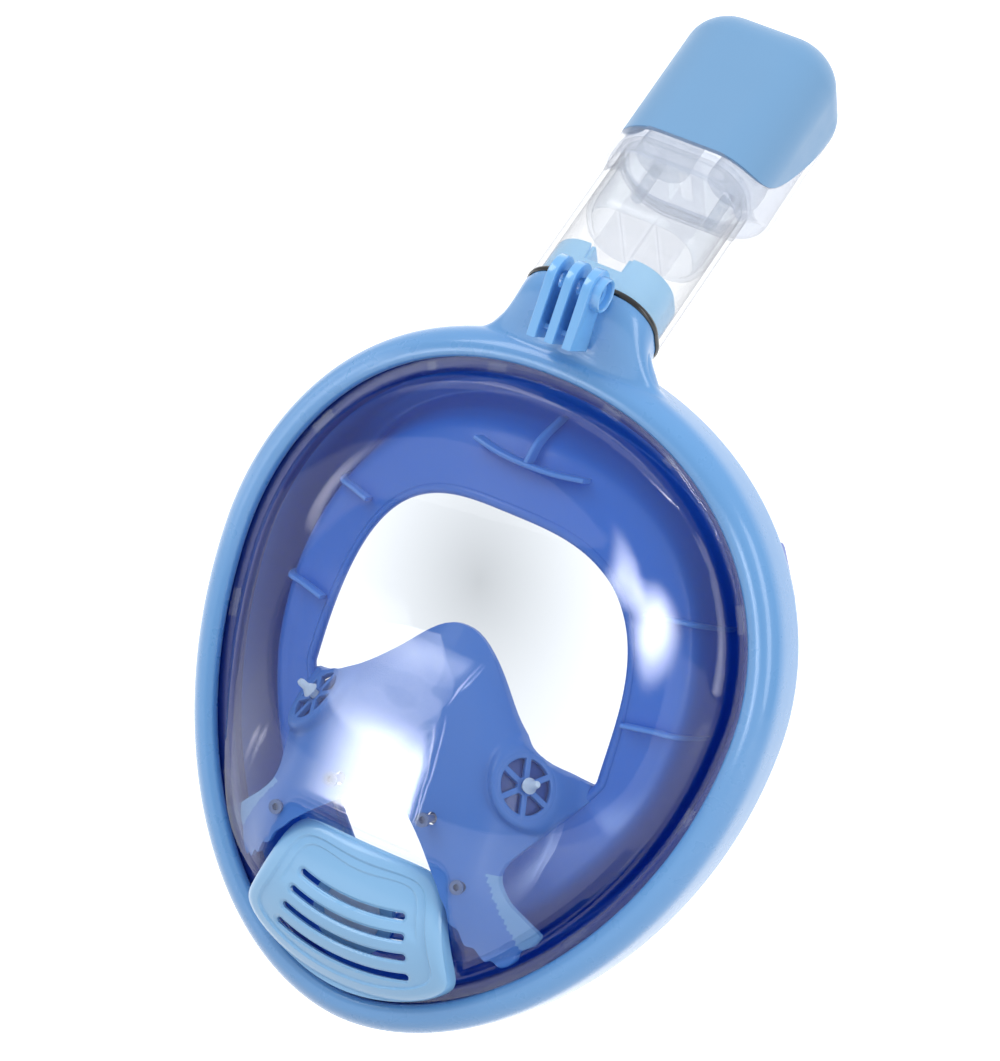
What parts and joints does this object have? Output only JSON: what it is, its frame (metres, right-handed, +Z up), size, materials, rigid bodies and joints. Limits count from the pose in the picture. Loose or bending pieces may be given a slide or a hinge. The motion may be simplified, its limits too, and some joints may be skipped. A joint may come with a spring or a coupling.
{
  "type": "snorkel mask",
  "caption": "Full-face diving mask with a clear domed visor in an oval ring, soft face skirt, nose pocket with valves, purge cover, camera mount and a pull-off dry-top snorkel.",
  "frame": {"origin": "centre of the face opening, at the front ring's mean plane", "axes": "+X towards the wearer's left, +Y back towards the face, +Z up along the mask"},
  "size_m": [0.1968, 0.1393, 0.336],
  "materials": {
    "ring_blue": "smooth glossy moulded plastic, light sky blue",
    "cap_blue": "satin gloss moulded plastic, soft sky blue",
    "pale_blue": "semi-gloss moulded plastic, pale blue",
    "connector_cyan": "semi-gloss moulded plastic, pale cyan",
    "frame_deep_blue": "satin moulded plastic, deep blue",
    "visor_clear": "clear polycarbonate, polished",
    "clear_plastic": "clear moulded plastic, faint grey tint",
    "skirt_silicone": "smooth silicone, deep royal blue",
    "pocket_silicone": "smooth satin silicone, mid blue",
    "valve_silicone": "translucent white silicone",
    "gasket_black": "black rubber, slight gloss"
  },
  "bodies": {
    "mask": {"front_frame": "ring_blue", "rear_frame": "frame_deep_blue", "visor_lens": "visor_clear", "face_skirt": "skirt_silicone", "nose_pocket": "pocket_silicone", "pocket_pins": "clear_plastic", "purge_cover": "pale_blue", "purge_seat": "pale_blue", "camera_mount": "pale_blue", "snorkel_connector": "connector_cyan", "neck_gasket": "gasket_black"},
    "snorkel": {"snorkel_tube": "clear_plastic", "valve_cup": "clear_plastic", "rear_housing": "clear_plastic", "seat_plate": "valve_silicone", "top_cap": "cap_blue"},
    "left_float": {"float_left": "pale_blue", "float_seal_left": "gasket_black"},
    "right_float": {"float_right": "pale_blue", "float_seal_right": "gasket_black"},
    "left_inhale_flap": {"inhale_valve_left": "valve_silicone"},
    "right_inhale_flap": {"inhale_valve_right": "valve_silicone"},
    "left_exhale_flap": {"exhale_flap_left": "valve_silicone"},
    "right_exhale_flap": {"exhale_flap_right": "valve_silicone"},
    "purge_flap": {"purge_valve": "valve_silicone"}
  },
  "joints": [
    {"name": "snorkel_slide", "type": "slide", "parent": "mask", "child": "snorkel", "axis": [0, 0.6428, 0.766], "range_m": [0, 0.03]},
    {"name": "left_float_slide", "type": "slide", "parent": "snorkel", "child": "left_float", "axis": [0, 0.6428, 0.766], "range_m": [0, 0.008]},
    {"name": "right_float_slide", "type": "slide", "parent": "snorkel", "child": "right_float", "axis": [0, 0.6428, 0.766], "range_m": [0, 0.008]},
    {"name": "left_inhale_slide", "type": "slide", "parent": "mask", "child": "left_inhale_flap", "axis": [-0.6909, 0.5808, -0.4306], "range_m": [0, 0.0015]},
    {"name": "right_inhale_slide", "type": "slide", "parent": "mask", "child": "right_inhale_flap", "axis": [0.6909, 0.5808, -0.4306], "range_m": [0, 0.0015]},
    {"name": "left_exhale_hinge", "type": "hinge", "parent": "mask", "child": "left_exhale_flap", "pos_m": [0.01175, -0.00293, 0.11886], "axis": [1, 0, 0], "range_deg": [0, 35]},
    {"name": "right_exhale_hinge", "type": "hinge", "parent": "mask", "child": "right_exhale_flap", "pos_m": [-0.01175, -0.00293, 0.11886], "axis": [1, 0, 0], "range_deg": [0, 35]},
    {"name": "purge_slide", "type": "slide", "parent": "mask", "child": "purge_flap", "axis": [0, -0.9678, -0.2516], "range_m": [0, 0.002]}
  ]
}
